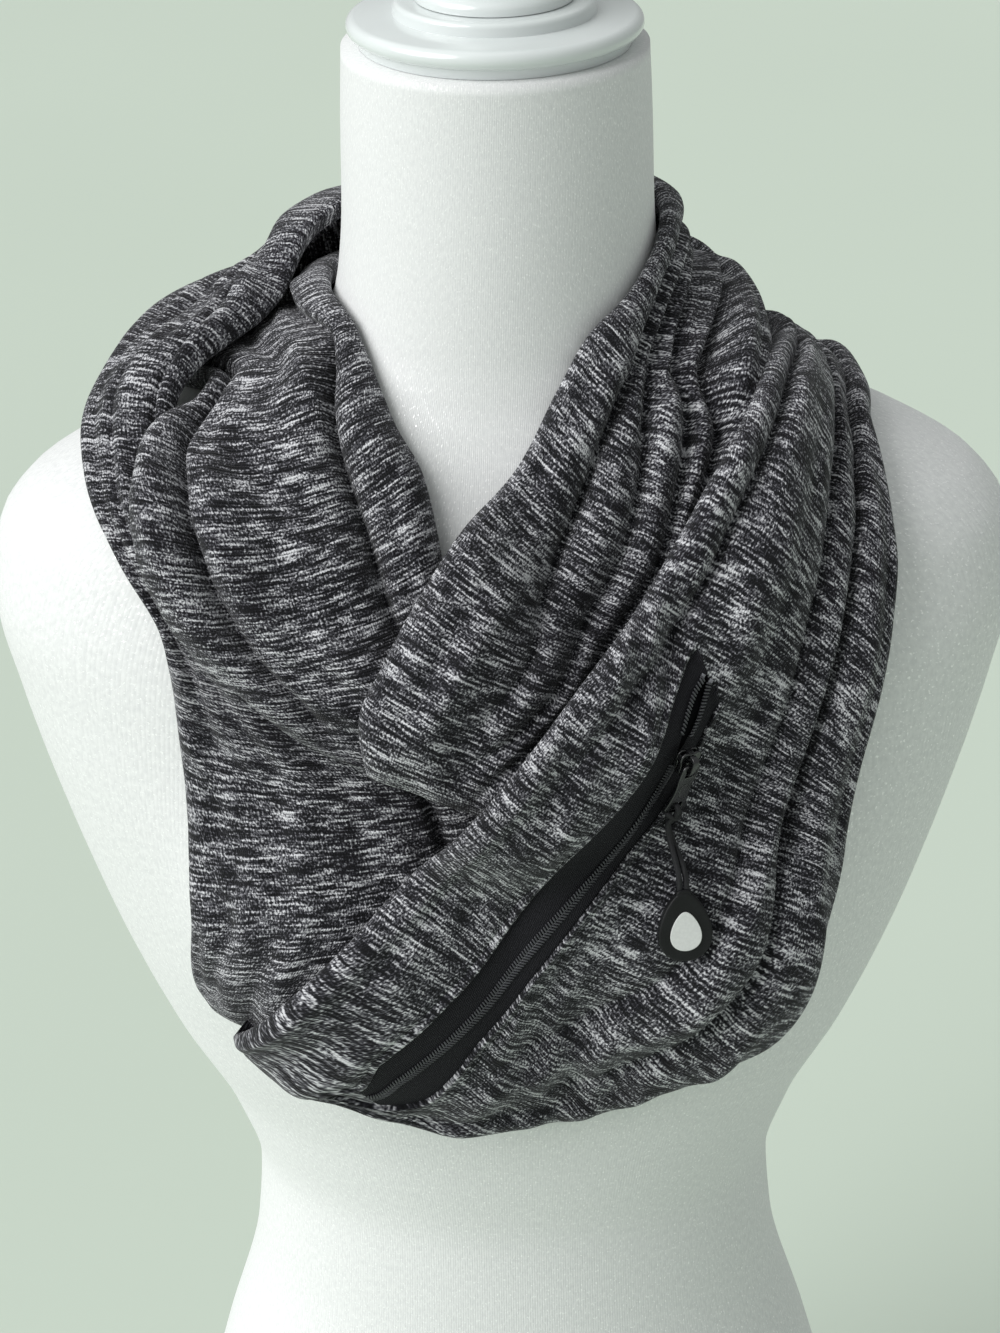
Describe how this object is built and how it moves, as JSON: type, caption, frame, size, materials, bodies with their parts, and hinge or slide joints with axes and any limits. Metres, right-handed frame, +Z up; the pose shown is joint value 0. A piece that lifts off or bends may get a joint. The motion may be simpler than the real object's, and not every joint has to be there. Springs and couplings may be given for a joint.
{
  "type": "loop scarf on a limbless dress form",
  "caption": "Heather jersey loop scarf with a hidden zip pocket, wound in two turns round the neck of a plain limbless dress form.",
  "frame": {"origin": "centre of the base plate's underside", "axes": "+Z up, the form's front faces -Y, +X to the viewer's right"},
  "size_m": [0.3862, 0.2722, 0.851],
  "materials": {
    "jersey": "heather knit, streaked charcoal, grey and white",
    "form_cover": "white ribbed stretch cover with a silver shimmer",
    "gloss_paint": "gloss",
    "zip_tape": "woven tape",
    "zip_teeth": "nylon coil",
    "pull_metal": "black, satin",
    "cord": "braided",
    "tag_rubber": "matte",
    "inlay": "matte"
  },
  "bodies": {
    "form_and_scarf": {"dress_form": "form_cover", "base_plate": "gloss_paint", "neck_cap": "gloss_paint", "neck_finial": "gloss_paint", "outer_left": "jersey", "inner_left": "jersey", "back_lower": "jersey", "inner_right": "jersey", "back_upper": "jersey", "outer_right": "jersey", "zip_tape": "zip_tape", "zip_chain": "zip_teeth", "zip_teeth_left": "zip_teeth", "zip_teeth_right": "zip_teeth", "zip_slider": "pull_metal", "slider_bridge": "pull_metal"},
    "pull": {"pull_tab": "pull_metal", "pull_cord": "cord", "pull_tag": "tag_rubber", "tag_badge": "inlay"}
  },
  "joints": [
    {"name": "pull_tab_swing", "type": "hinge", "parent": "form_and_scarf", "child": "pull", "pos_m": [0.06456, -0.13523, 0.54792], "axis": [-0.8046, -0.5877, 0.0849], "range_deg": [0, 115]}
  ]
}
